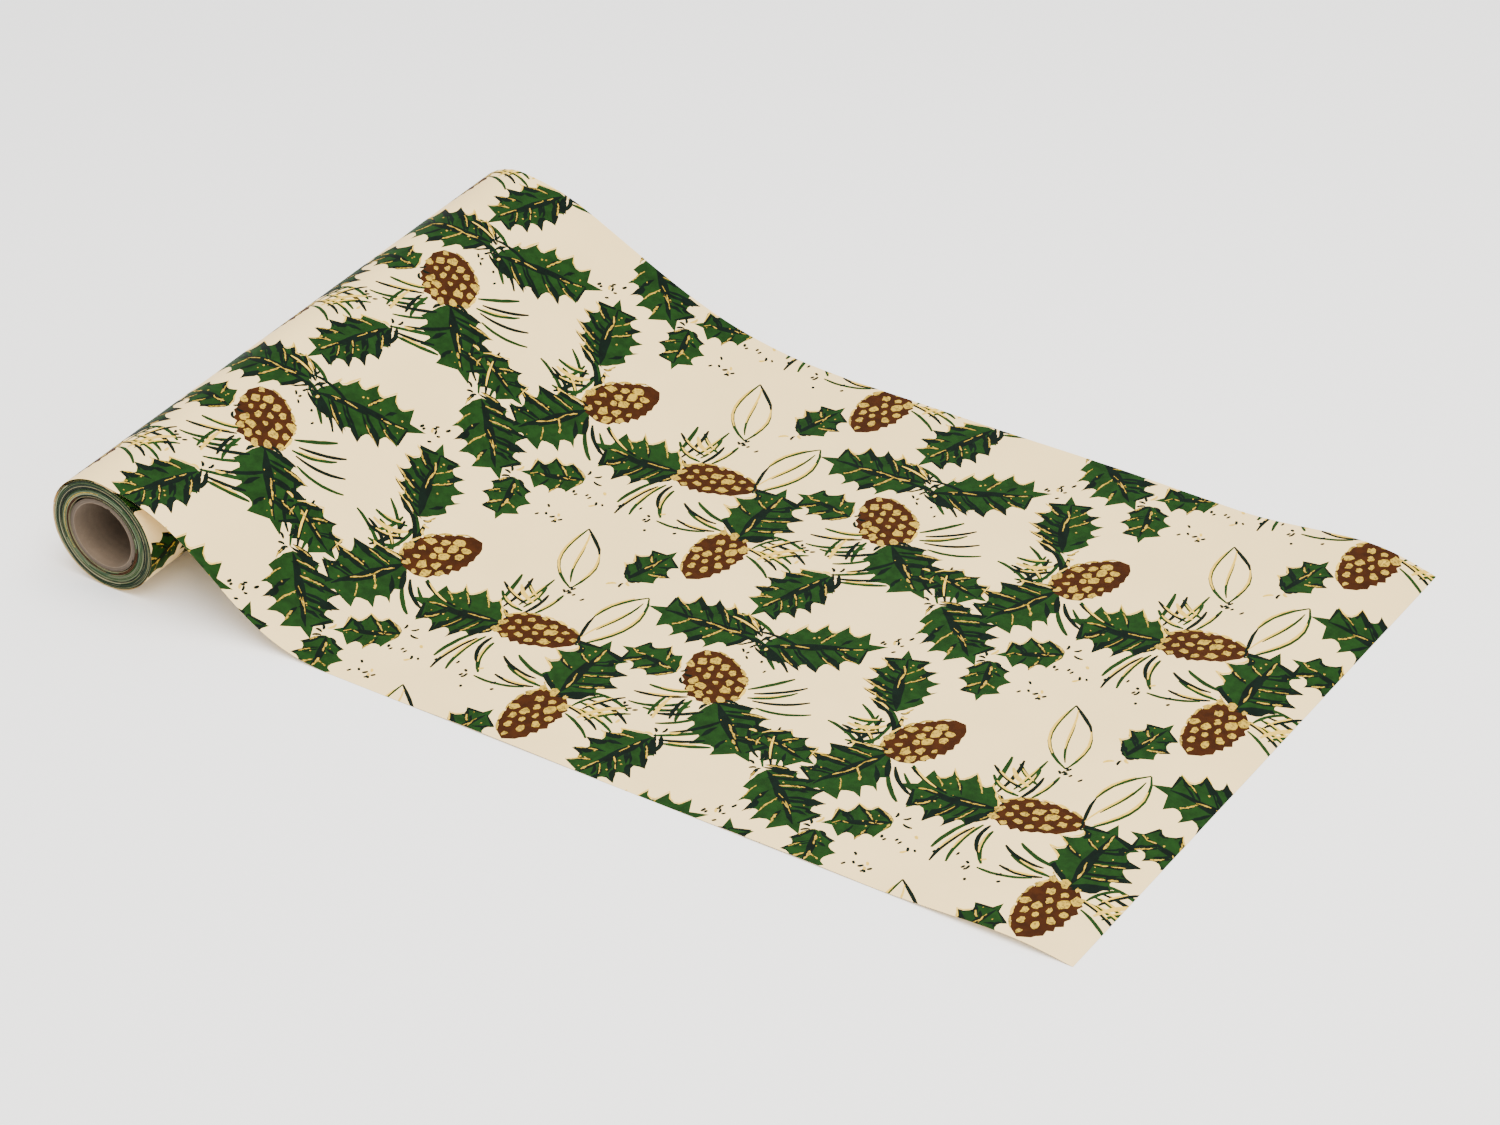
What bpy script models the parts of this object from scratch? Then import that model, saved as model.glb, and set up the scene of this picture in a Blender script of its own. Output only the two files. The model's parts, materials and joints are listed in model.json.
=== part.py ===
"""Roll of gift wrapping paper on a cardboard core, partly unrolled over a table.

Frame: metres, +Z up, origin at the middle of the footprint on the table, z = 0.
The roll's axis runs along Y near the -X end. The web leaves the top of the roll and
runs out along +X.
"""
import math

import bpy

# ---- driving dimensions --------------------------------------------------------------
WEB_WIDTH = 0.500            # width of the paper, and length of the core
FREE_END_X = 0.781           # from the roll's axis to the cut end of the sheet
GAP = 0.0003                 # clearance between pieces that touch

BORE_RADIUS = 0.0255         # inside of the cardboard core
PLY_THICK = 0.0005           # liner and cover ply of the core
BODY_PLY_THICK = 0.0016      # glued stack of middle plies
PLY_PITCH = 0.120            # axial advance of a ply per turn
PLY_SEAM = 0.0010            # open butt seam between neighbouring turns of a ply
PLY_STEPS = 30               # facets per turn of a ply

TAPE_THICK = 0.00022         # strip that holds the paper's tail to the core
TAPE_WIDTH = 0.012
TAPE_LENGTH = 0.470

WOUND_OUTER_RADIUS = 0.0402  # tight part of the paper build
TURN_THICK = 0.00065         # one loose turn
TURN_PITCH = 0.00100         # radial growth per loose turn
LOOSE_TURNS = 3
LOOSE_OUTER_RADIUS = 0.0442  # radius of the outermost loose edge
TURN_STEPS = 60              # facets per loose turn

SHEET_THICK = 0.0003         # thickness of the drawn-off web in this model
SEAM_ANGLE = math.radians(-75.0)   # where the drawn-off web begins, from the roll's top
LIFT_ANGLE = math.radians(8.0)     # where it lifts away from the roll
RISE_END_X = 0.335           # from the axis to where the rise has become the laid sheet
RISE_ROWS = 34               # steps down the ramp
WRAP_ROWS = 14               # steps round the roll
COLUMNS = 6                  # steps across the web

# The ramp differs a little from the near edge (first value) to the far edge.
RAMP_SLOPE = (math.radians(40.0), math.radians(27.0))
RAMP_STEEP_FROM = (0.40, 0.22)     # fraction of the ramp where the steepest part begins
RAMP_STEEP_TO = (0.50, 0.32)       # and where it ends

CURL_LENGTH = 0.154          # low arch that the sheet keeps before its free end
CURL_HEIGHT = (0.0045, 0.0090)     # near edge, far edge
CURL_SKEW = 1.6
CURL_ROWS = 18

HALF = WEB_WIDTH / 2.0
SEAM_GAP_TURN = math.radians(2.0)  # loose turns start this far behind the web's first edge
TIP_ANGLE = SEAM_ANGLE - SEAM_GAP_TURN
ROLL_X = (LOOSE_OUTER_RADIUS - FREE_END_X) / 2.0
AXIS_Z = LOOSE_OUTER_RADIUS - TURN_PITCH * (math.pi + TIP_ANGLE) / (2.0 * math.pi)
WEB_RADIUS = LOOSE_OUTER_RADIUS + GAP + SHEET_THICK / 2.0

# ---- colours (linear RGB), roughness ------------------------------------------------------
PRINTED_PAPER = ((0.78, 0.69, 0.56), 0.55)
WOUND_PAPER = ((0.42, 0.44, 0.30), 0.80)
KRAFT = ((0.30, 0.22, 0.15), 0.90)
CHIPBOARD = ((0.22, 0.18, 0.14), 0.92)
TAPE = ((0.70, 0.66, 0.55), 0.35)


def mix(pair, t):
    return pair[0] * (1.0 - t) + pair[1] * t


def smooth(t):
    t = min(max(t, 0.0), 1.0)
    return t * t * (3.0 - 2.0 * t)


def on_roll(angle, radius):
    """Point (x, z) at an angle from the roll's top, positive towards +X."""
    return ROLL_X + radius * math.sin(angle), AXIS_Z + radius * math.cos(angle)


def make_material(name, colour, roughness):
    material = bpy.data.materials.new(name)
    material.use_nodes = True
    shader = material.node_tree.nodes["Principled BSDF"]
    shader.inputs["Base Color"].default_value = (*colour, 1.0)
    shader.inputs["Roughness"].default_value = roughness
    shader.inputs["Metallic"].default_value = 0.0
    return material


def add_object(name, points, faces, finish, parent=None):
    """Make one node from world points, with its origin on its parent."""
    mesh = bpy.data.meshes.new(name)
    base = parent.location if parent else (0.0, 0.0, 0.0)
    local = [(x - base[0], y - base[1], z - base[2]) for x, y, z in points]
    mesh.from_pydata(local, [], faces)
    mesh.update()
    mesh.shade_smooth()
    mesh.set_sharp_from_angle(angle=math.radians(30.0))
    mesh.materials.append(make_material(name + "_finish", *finish))
    node = bpy.data.objects.new(name, mesh)
    bpy.context.collection.objects.link(node)
    node.parent = parent
    return node


def add_axis(name, location):
    empty = bpy.data.objects.new(name, None)
    empty.location = location
    empty.empty_display_size = 0.05
    bpy.context.collection.objects.link(empty)
    return empty


def loft(sections):
    """Close a row of four-cornered sections into one solid, faces outward."""
    points = [p for section in sections for p in section]
    faces = []
    for i in range(len(sections) - 1):
        a, b = 4 * i, 4 * i + 4
        for k in range(4):
            n = (k + 1) % 4
            faces.append((a + k, a + n, b + n, b + k))
    last = 4 * (len(sections) - 1)
    faces.append((3, 2, 1, 0))
    faces.append((last, last + 1, last + 2, last + 3))
    return points, faces


def arc_section(angle, inner, outer, low_y, high_y):
    """Corners of a radial cut through a curved strip, in loft order."""
    xi, zi = on_roll(angle, inner)
    xo, zo = on_roll(angle, outer)
    return [(xi, low_y, zi), (xi, high_y, zi), (xo, high_y, zo), (xo, low_y, zo)]


def tube(inner, outer, steps):
    """Plain ring solid along the whole width."""
    points = []
    faces = []
    for i in range(steps):
        points += arc_section(2.0 * math.pi * i / steps, inner, outer, -HALF, HALF)
    for i in range(steps):
        a, b = 4 * i, 4 * ((i + 1) % steps)
        for k in range(4):
            n = (k + 1) % 4
            faces.append((a + k, a + n, b + n, b + k))
    return points, faces


def ply_strip(inner, outer, phase):
    """Spiral-wound ply: one strip in a helix, cut square at both ends of the core."""
    step = 2.0 * math.pi / PLY_STEPS
    strip = PLY_PITCH - PLY_SEAM
    taper = 0.004            # the strip's pointed ends are cut off at this width
    turns = (WEB_WIDTH + strip - 2.0 * taper) / PLY_PITCH
    count = int(turns * PLY_STEPS)
    sections = []
    for i in range(count + 1):
        advance = -HALF - strip + taper + PLY_PITCH * i / PLY_STEPS
        low_y = max(-HALF, advance)
        high_y = min(HALF, advance + strip)
        sections.append(arc_section(phase + step * i, inner, outer, low_y, high_y))
    return loft(sections)


def tape_strip(inner):
    """Narrow adhesive strip lying along the core."""
    half_angle = TAPE_WIDTH / 2.0 / inner
    angles = [math.pi / 3.0 + half_angle * k / 2.0 for k in range(-2, 3)]
    half = TAPE_LENGTH / 2.0
    return loft([arc_section(a, inner, inner + TAPE_THICK, -half, half) for a in angles])


def spiral_turns():
    """Loose outer turns as one spiral strip, from its inner end to its outer edge."""
    count = LOOSE_TURNS * TURN_STEPS
    sections = []
    for i in range(count + 1):
        back = 2.0 * math.pi * (count - i) / TURN_STEPS
        outer = LOOSE_OUTER_RADIUS - TURN_PITCH * back / (2.0 * math.pi)
        sections.append(arc_section(TIP_ANGLE - back, outer - TURN_THICK, outer, -HALF, HALF))
    return loft(sections)


def ramp_angle(u, t):
    """Downward slope at fraction u of the ramp, for a place t across the web."""
    steepest = mix(RAMP_SLOPE, t)
    steep_from = mix(RAMP_STEEP_FROM, t)
    steep_to = mix(RAMP_STEEP_TO, t)
    if u < steep_from:
        return LIFT_ANGLE + (steepest - LIFT_ANGLE) * smooth(u / steep_from)
    return steepest * (1.0 - smooth((u - steep_to) / (1.0 - steep_to)))


def ramp_line(t):
    """Middle line of the rise at place t: (x, z, slope) from the seam to the sheet."""
    line = []
    for i in range(WRAP_ROWS):
        angle = SEAM_ANGLE + (LIFT_ANGLE - SEAM_ANGLE) * i / WRAP_ROWS
        line.append((*on_roll(angle, WEB_RADIUS), angle))
    x, z = on_roll(LIFT_ANGLE, WEB_RADIUS)
    slopes = [ramp_angle((i + 0.5) / RISE_ROWS, t) for i in range(RISE_ROWS)]
    drop = z - SHEET_THICK / 2.0
    step = drop / sum(math.sin(s) for s in slopes)
    line.append((x, z, LIFT_ANGLE))
    for i, slope in enumerate(slopes):
        x += step * math.cos(slope)
        z -= step * math.sin(slope)
        line.append((x, z, ramp_angle((i + 1.0) / RISE_ROWS, t)))
    line.append((ROLL_X + RISE_END_X, SHEET_THICK / 2.0, 0.0))
    return line


def sheet_line(t):
    """Middle line of the laid sheet at place t, with the low arch before its free end."""
    curl_start = ROLL_X + FREE_END_X - CURL_LENGTH
    line = [(ROLL_X + RISE_END_X + GAP, SHEET_THICK / 2.0, 0.0)]
    for i in range(CURL_ROWS + 1):
        u = i / CURL_ROWS
        rise = mix(CURL_HEIGHT, t) * math.sin(math.pi * u ** CURL_SKEW)
        turn = math.pi * CURL_SKEW * u ** (CURL_SKEW - 1.0) * math.cos(math.pi * u ** CURL_SKEW)
        slope = -math.atan(mix(CURL_HEIGHT, t) * turn / CURL_LENGTH)
        line.append((curl_start + CURL_LENGTH * u, SHEET_THICK / 2.0 + rise, slope))
    return line


def thin_sheet(line_at):
    """Solid sheet around a middle line that varies across the web."""
    lines = [line_at(c / COLUMNS) for c in range(COLUMNS + 1)]
    rows = len(lines[0])
    points = []
    for side in (0.5, -0.5):
        for c, line in enumerate(lines):
            y = -HALF + WEB_WIDTH * c / COLUMNS
            for x, z, slope in line:
                off = side * SHEET_THICK
                points.append((x + off * math.sin(slope), y, z + off * math.cos(slope)))
    under = rows * (COLUMNS + 1)
    faces = []
    for c in range(COLUMNS):
        for r in range(rows - 1):
            a = c * rows + r
            b = a + rows
            faces.append((a, a + 1, b + 1, b))
            faces.append((under + a, under + b, under + b + 1, under + a + 1))
        first = c * rows
        last = first + rows - 1
        faces.append((first, first + rows, under + first + rows, under + first))
        faces.append((last, under + last, under + last + rows, last + rows))
    far = COLUMNS * rows
    for r in range(rows - 1):
        faces.append((r, under + r, under + r + 1, r + 1))
        faces.append((far + r, far + r + 1, under + far + r + 1, under + far + r))
    return points, faces


def build_core(axis):
    body_inner = BORE_RADIUS + PLY_THICK + GAP
    cover_inner = body_inner + BODY_PLY_THICK + GAP
    liner = ply_strip(BORE_RADIUS, BORE_RADIUS + PLY_THICK, 0.4)
    add_object("core_liner_ply", *liner, CHIPBOARD, axis)
    body = tube(body_inner, body_inner + BODY_PLY_THICK, 2 * PLY_STEPS)
    add_object("core_body_plies", *body, CHIPBOARD, axis)
    cover = ply_strip(cover_inner, cover_inner + PLY_THICK, 2.1)
    add_object("core_cover_ply", *cover, KRAFT, axis)
    return cover_inner + PLY_THICK


def build_paper(axis, feed, core_radius):
    tape_inner = core_radius + GAP
    add_object("tail_tape", *tape_strip(tape_inner), TAPE, axis)
    wound_inner = tape_inner + TAPE_THICK + GAP
    wound = tube(wound_inner, WOUND_OUTER_RADIUS, TURN_STEPS)
    add_object("wound_turns", *wound, WOUND_PAPER, axis)
    add_object("loose_outer_turns", *spiral_turns(), WOUND_PAPER, axis)
    add_object("web_rise", *thin_sheet(ramp_line), PRINTED_PAPER)
    add_object("laid_sheet", *thin_sheet(sheet_line), PRINTED_PAPER, feed)


def main():
    for old in list(bpy.data.objects):
        bpy.data.objects.remove(old, do_unlink=True)
    axis = add_axis("roll_axis", (ROLL_X, 0.0, AXIS_Z))
    feed = add_axis("sheet_feed", (ROLL_X + RISE_END_X, 0.0, 0.0))
    core_radius = build_core(axis)
    build_paper(axis, feed, core_radius)


main()
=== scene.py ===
"""Looks of a roll of gift wrapping paper: printed web, wound turns and cardboard core."""
import cmath
import json
import math
import random

import bpy
import numpy as np
from bpy.props import FloatProperty, FloatVectorProperty, IntProperty, PointerProperty
from mathutils import Matrix, Vector
from mathutils.geometry import delaunay_2d_cdt


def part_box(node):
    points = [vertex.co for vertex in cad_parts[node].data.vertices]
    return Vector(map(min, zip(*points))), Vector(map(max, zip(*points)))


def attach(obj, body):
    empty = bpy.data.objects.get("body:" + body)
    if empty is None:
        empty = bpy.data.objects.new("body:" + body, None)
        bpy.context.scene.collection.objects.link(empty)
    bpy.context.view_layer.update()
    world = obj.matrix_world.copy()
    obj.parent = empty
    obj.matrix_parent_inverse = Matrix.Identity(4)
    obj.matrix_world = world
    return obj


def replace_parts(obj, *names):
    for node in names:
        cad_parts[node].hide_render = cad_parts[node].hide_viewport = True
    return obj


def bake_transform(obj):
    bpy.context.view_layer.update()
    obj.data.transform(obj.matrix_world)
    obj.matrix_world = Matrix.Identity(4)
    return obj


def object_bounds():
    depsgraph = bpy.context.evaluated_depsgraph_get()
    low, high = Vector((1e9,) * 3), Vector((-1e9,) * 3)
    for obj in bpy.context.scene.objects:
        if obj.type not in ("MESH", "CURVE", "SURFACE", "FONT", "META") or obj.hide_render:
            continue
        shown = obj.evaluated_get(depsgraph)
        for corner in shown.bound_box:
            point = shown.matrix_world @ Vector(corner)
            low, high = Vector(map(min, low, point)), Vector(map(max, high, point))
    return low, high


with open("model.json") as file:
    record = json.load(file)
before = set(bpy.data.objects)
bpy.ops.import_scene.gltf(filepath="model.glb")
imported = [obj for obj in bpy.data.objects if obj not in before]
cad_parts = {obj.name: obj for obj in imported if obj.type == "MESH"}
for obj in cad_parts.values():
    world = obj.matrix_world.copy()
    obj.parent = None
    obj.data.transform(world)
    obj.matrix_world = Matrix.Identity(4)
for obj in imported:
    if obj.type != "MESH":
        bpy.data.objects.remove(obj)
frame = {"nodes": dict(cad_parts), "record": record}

bl_info = {
    "name": "Gift Wrap Roll",
    "version": (1, 0, 0),
    "blender": (4, 5, 0),
    "location": "View3D > Sidebar > Gift Wrap",
    "description": "Builds the printed web, the wound turns, the core and a plain studio",
    "category": "Object",
}

# ---- places read from the frame ----------------------------------------------------------
CAD_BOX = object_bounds()
MM = 0.001
TURN_JOINT = next(j for j in frame["record"]["behaviour"]["joints"] if j["name"] == "roll_turn")
AXIS_X, _, AXIS_Z = TURN_JOINT["pos_m"]
SHEET_LOW, SHEET_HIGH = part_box("laid_sheet")
_, RISE_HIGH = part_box("web_rise")
WALL_LOW, WALL_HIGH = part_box("core_body_plies")
WEB_WIDTH = SHEET_HIGH.y - SHEET_LOW.y
HALF = WEB_WIDTH / 2.0
FREE_END = SHEET_HIGH.x - AXIS_X
CAD_SHEET = 0.0003                       # thickness of the frame's sheet
WEB_RADIUS = RISE_HIGH.z - AXIS_Z - CAD_SHEET / 2.0
WALL_OUTER = (WALL_HIGH.z - WALL_LOW.z) / 2.0

SEAM_ANGLE = math.radians(-75.0)         # where the drawn-off web begins, from the roll's top
LIFT_ANGLE = math.radians(8.0)           # where it lifts away from the roll
SEAM_S = (SEAM_ANGLE - LIFT_ANGLE) * WEB_RADIUS
RAMP_SLOPE = (math.radians(40.0), math.radians(27.0))
RAMP_STEEP_FROM = (0.40, 0.22)
RAMP_STEEP_TO = (0.50, 0.32)
CURL_LENGTH = 0.154
CURL_SKEW = 1.6

INKS = ("green", "brown", "navy", "pale_gold", "gold")
INK_LIFT = {"green": 0.030, "brown": 0.045, "navy": 0.062, "pale_gold": 0.078, "gold": 0.095}


# ---- settings ---------------------------------------------------------------------------
def length(name, description, default):
    return FloatProperty(name=name, description=description, default=default,
                         unit="LENGTH", precision=5)


def colour(name, description, default):
    return FloatVectorProperty(name=name, description=description, default=default,
                               subtype="COLOR", size=3, min=0.0, max=1.0)


class WebSettings(bpy.types.PropertyGroup):
    thickness: length("Paper thickness", "Thickness of the printed web", 0.00010)
    curl_near: length("Near curl", "Height of the arch before the free end, near edge", 0.0045)
    curl_far: length("Far curl", "Height of the arch before the free end, far edge", 0.0088)
    ripple: length("Ripple", "Height of the slow ripple along the edges", 0.0010)
    paper: colour("Paper", "Colour of the paper", (0.92, 0.685, 0.32))


class PrintSettings(bpy.types.PropertyGroup):
    repeat_length: length("Repeat length", "Length of one printed repeat", 0.400)
    repeat_width: length("Repeat width", "Width of one printed repeat", 0.220)
    seed: IntProperty(name="Seed", description="Seed of the hand-drawn wobble", default=11)
    green: colour("Green", "Leaf ink", (0.0058, 0.0290, 0.0036))
    brown: colour("Brown", "Cone ink", (0.034, 0.0088, 0.0009))
    navy: colour("Navy", "Shadow ink", (0.0009, 0.0052, 0.0026))
    pale_gold: colour("Pale gold", "Light gold ink", (0.73, 0.475, 0.055))
    gold: colour("Gold", "Metallic gold ink", (0.50, 0.325, 0.030))


class RollSettings(bpy.types.PropertyGroup):
    bore: length("Bore radius", "Inside radius of the core", 0.0255)
    ply: length("Ply thickness", "Thickness of the liner and cover plies", 0.0006)
    ply_pitch: length("Ply pitch", "Advance of a ply along the core per turn", 0.120)
    seam: length("Seam gap", "Gap between neighbouring turns of a ply", 0.0006)
    bundles: IntProperty(name="Bundles", description="Visible rings in the build", default=13)
    board: colour("Board", "Colour of the core's board", (0.180, 0.130, 0.088))


class StageSettings(bpy.types.PropertyGroup):
    lens: FloatProperty(name="Lens", description="Focal length in mm", default=113.4)
    heading: FloatProperty(name="Heading", description="Camera heading", subtype="ANGLE",
                           default=math.radians(34.3))
    tilt: FloatProperty(name="Tilt", description="Camera tilt below level", subtype="ANGLE",
                        default=math.radians(34.8))
    roll: FloatProperty(name="Roll", description="Camera roll", subtype="ANGLE",
                        default=math.radians(-1.4))
    distance: length("Distance", "Camera distance from its target", 3.320)
    floor: colour("Floor", "Colour of the floor", (0.93, 0.94, 0.96))


# ---- shading ----------------------------------------------------------------------------
class Value:
    """A node's output that adds Math nodes when it is used in an expression."""

    def __init__(self, recipe, socket):
        self.recipe = recipe
        self.socket = socket

    def _math(self, operation, first, second):
        return self.recipe.node("ShaderNodeMath", {"operation": operation}, {0: first, 1: second})

    def __add__(self, other):
        return self._math("ADD", self, other)

    def __radd__(self, other):
        return self._math("ADD", other, self)

    def __rsub__(self, other):
        return self._math("SUBTRACT", other, self)

    def __mul__(self, other):
        return self._math("MULTIPLY", self, other)

    def __rmul__(self, other):
        return self._math("MULTIPLY", other, self)


class Recipe:
    """The nodes of one finish."""

    def __init__(self, name, roughness):
        self.material = bpy.data.materials.new(name)
        self.material.use_nodes = True
        self.tree = self.material.node_tree
        self.shader = self.tree.nodes["Principled BSDF"]
        self.shader.inputs["Roughness"].default_value = roughness
        self.place = self.node("ShaderNodeTexCoord", output="Object")

    def feed(self, socket, value):
        if isinstance(value, Value):
            self.tree.links.new(value.socket, socket)
        elif value is not None:
            if isinstance(value, (tuple, list)) and len(value) == 3 and socket.type == "RGBA":
                value = (*value, 1.0)
            socket.default_value = value

    def node(self, kind, settings=None, sockets=None, output=0):
        node = self.tree.nodes.new(kind)
        for key, value in (settings or {}).items():
            setattr(node, key, value)
        for key, value in (sockets or {}).items():
            self.feed(node.inputs[key], value)
        return Value(self, node.outputs[output])

    def stretched(self, x, y, z):
        return self.node("ShaderNodeMapping", None, {"Vector": self.place, "Scale": (x, y, z)})

    def noise(self, scale, detail=3.0, rough=0.55, vector=None):
        return self.node("ShaderNodeTexNoise", None,
                         {"Vector": vector or self.place, "Scale": scale, "Detail": detail,
                          "Roughness": rough}, "Fac")

    def step(self, value, low, high):
        return self.node("ShaderNodeMapRange", {"interpolation_type": "SMOOTHSTEP"},
                         {"Value": value, "From Min": low, "From Max": high}, "Result")

    def mix(self, factor, first, second):
        return self.node("ShaderNodeMix", {"data_type": "RGBA"},
                         {"Factor": factor, 6: first, 7: second}, 2)

    def set(self, **sockets):
        for name, value in sockets.items():
            self.feed(self.shader.inputs[name.replace("_", " ")], value)

    def bump(self, height, distance):
        self.set(Normal=self.node("ShaderNodeBump", None,
                                  {"Height": height, "Distance": distance, "Strength": 1.0},
                                  "Normal"))


def shaded(tint, factor):
    return tuple(min(1.0, c * factor) for c in tint)


def paper_finish(name, tint, roughness=0.60):
    """Uncoated gift wrap stock: faint cloudiness, short fibres and hardly any sheen."""
    recipe = Recipe(name, roughness)
    cloud = recipe.step(recipe.noise(16.0, 4.0), 0.30, 0.70)
    fibre = recipe.noise(1.0, 4.0, 0.7, recipe.stretched(900.0, 2600.0, 900.0))
    fleck = recipe.step(recipe.noise(1500.0, 2.0), 0.70, 0.76)
    base = recipe.mix(cloud, shaded(tint, 0.970), shaded(tint, 1.02))
    base = recipe.mix(fibre * 0.10, base, shaded(tint, 0.80))
    base = recipe.mix(fleck * 0.18, base, shaded(tint, 0.62))
    recipe.set(Base_Color=base, Roughness=roughness - 0.08 + 0.16 * fibre)
    recipe.shader.inputs["Specular IOR Level"].default_value = 0.30
    recipe.bump(fibre + 2.0 * cloud, 0.00003)
    return recipe.material


def ink_finish(name, tint, roughness, spread=0.25):
    """Printed ink: slightly uneven lay-down with pinholes and dry patches."""
    recipe = Recipe(name, roughness)
    patch = recipe.step(recipe.noise(120.0, 5.0, 0.65), 0.32, 0.68)
    grain = recipe.noise(2200.0, 3.0, 0.7)
    base = recipe.mix(patch, shaded(tint, 1.0 - spread), shaded(tint, 1.0 + spread))
    base = recipe.mix(recipe.step(grain, 0.60, 0.74) * 0.30, base, shaded(tint, 1.9))
    recipe.set(Base_Color=base, Roughness=roughness - 0.06 + 0.14 * grain)
    recipe.shader.inputs["Specular IOR Level"].default_value = 0.06
    recipe.bump(grain, 0.00003)
    return recipe.material


def gold_finish(name, tint, metallic, dark):
    """Metallic ink over absorbent paper: stippled bright flakes on a dull ground."""
    recipe = Recipe(name, 0.45)
    stipple = recipe.step(recipe.noise(480.0, 4.0, 0.72), 0.41, 0.52)
    flake = recipe.step(recipe.noise(1900.0, 2.0, 0.6), 0.52, 0.66)
    base = recipe.mix(stipple, shaded(tint, dark), tint)
    base = recipe.mix(flake * 0.5, base, shaded(tint, 1.35))
    recipe.set(Base_Color=base, Roughness=0.56 - 0.14 * flake, Metallic=metallic * stipple)
    recipe.shader.inputs["Specular IOR Level"].default_value = 0.15
    recipe.bump(stipple + flake, 0.00004)
    return recipe.material


def board_finish(name, tint, lines):
    """Recycled board: long fibres, grey and brown flecks, and faint winding lines."""
    recipe = Recipe(name, 0.86)
    pulp = recipe.step(recipe.noise(70.0, 6.0, 0.7), 0.30, 0.72)
    fibre = recipe.noise(1.0, 5.0, 0.75, recipe.stretched(1500.0, 420.0, 1500.0))
    dark = recipe.step(recipe.noise(950.0, 3.0), 0.66, 0.72)
    pale = recipe.step(recipe.noise(700.0, 3.0), 0.68, 0.74)
    band = recipe.node("ShaderNodeTexWave", {"bands_direction": "Y"},
                       {"Vector": recipe.place, "Scale": lines, "Distortion": 2.5,
                        "Detail": 3.0, "Detail Scale": 2.0}, "Fac")
    base = recipe.mix(pulp, shaded(tint, 0.86), shaded(tint, 1.12))
    base = recipe.mix(fibre * 0.5, base, shaded(tint, 0.72))
    base = recipe.mix(dark * 0.55, base, shaded(tint, 0.40))
    base = recipe.mix(pale * 0.45, base, shaded(tint, 1.75))
    base = recipe.mix(band * 0.10, base, shaded(tint, 0.70))
    recipe.set(Base_Color=base, Roughness=0.80 + 0.14 * fibre)
    recipe.bump(fibre + 0.6 * pulp + 0.3 * band, 0.00012)
    return recipe.material


def edge_finish(name, tint):
    """Cut edges of many turns: rings of bare paper and of paper stained by the inks."""
    recipe = Recipe(name, 0.82)
    centred = recipe.node("ShaderNodeVectorMath", {"operation": "SUBTRACT"},
                          {0: recipe.place, 1: (AXIS_X, 0.0, AXIS_Z)}, "Vector")
    flat = recipe.node("ShaderNodeVectorMath", {"operation": "MULTIPLY"},
                       {0: centred, 1: (1.0, 0.0, 1.0)}, "Vector")
    radius = recipe.node("ShaderNodeVectorMath", {"operation": "LENGTH"}, {0: flat}, "Value")
    drift = recipe.noise(24.0, 2.0)
    ring = recipe.node("ShaderNodeTexNoise", {"noise_dimensions": "1D"},
                       {"W": radius * 850.0 + 1.6 * drift, "Scale": 1.0, "Detail": 4.0}, "Fac")
    broad = recipe.node("ShaderNodeTexNoise", {"noise_dimensions": "1D"},
                        {"W": radius * 270.0 + 5.0 * drift, "Scale": 1.0, "Detail": 2.0}, "Fac")
    base = recipe.mix(recipe.step(broad, 0.42, 0.58), tint, (0.040, 0.082, 0.034))
    base = recipe.mix(recipe.step(ring, 0.53, 0.62) * 0.85, base, (0.012, 0.024, 0.012))
    base = recipe.mix(recipe.step(1.0 - ring, 0.57, 0.66) * 0.65, base, (0.36, 0.31, 0.17))
    recipe.set(Base_Color=base, Roughness=0.74 + 0.16 * ring)
    recipe.bump(ring, 0.00020)
    return recipe.material


# ---- meshes -----------------------------------------------------------------------------
def add_piece(name, points, faces, finish, normals=None, smooth=True):
    mesh = bpy.data.meshes.new(name)
    mesh.from_pydata([tuple(p) for p in points], [], faces)
    mesh.materials.append(finish)
    mesh.update()
    if smooth:
        mesh.shade_smooth()
        mesh.set_sharp_from_angle(angle=math.radians(35.0))
    if normals is not None:
        mesh.normals_split_custom_set_from_vertices([tuple(n) for n in normals])
    piece = bpy.data.objects.new(name, mesh)
    bpy.context.scene.collection.objects.link(piece)
    return piece


def on_roll(radius, angle, y):
    """Point at an angle from the roll's top, positive towards +X."""
    return AXIS_X + radius * math.sin(angle), y, AXIS_Z + radius * math.cos(angle)


def bevelled(inner, outer, low, high, bevel):
    """Corners (radius, y) of a section through a wall, with its edges eased."""
    return ((inner, low + bevel), (inner, high - bevel), (inner + bevel, high),
            (outer - bevel, high), (outer, high - bevel), (outer, low + bevel),
            (outer - bevel, low), (inner + bevel, low))


def tube_faces(sections, corners, closed=False):
    """Faces between sections that follow each other, and end caps unless it is closed."""
    last = sections - 1
    faces = []
    if not closed:
        faces = [tuple(range(corners - 1, -1, -1)),
                 tuple(range(corners * last, corners * sections))]
    for i in range(sections if closed else last):
        a, b = corners * i, corners * ((i + 1) % sections)
        for k in range(corners):
            n = (k + 1) % corners
            faces.append((a + k, a + n, b + n, b + k))
    return faces


def mix_pair(pair, t):
    return pair[0] * (1.0 - t) + pair[1] * t


def smooth_step(t):
    t = np.clip(t, 0.0, 1.0)
    return t * t * (3.0 - 2.0 * t)


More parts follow.
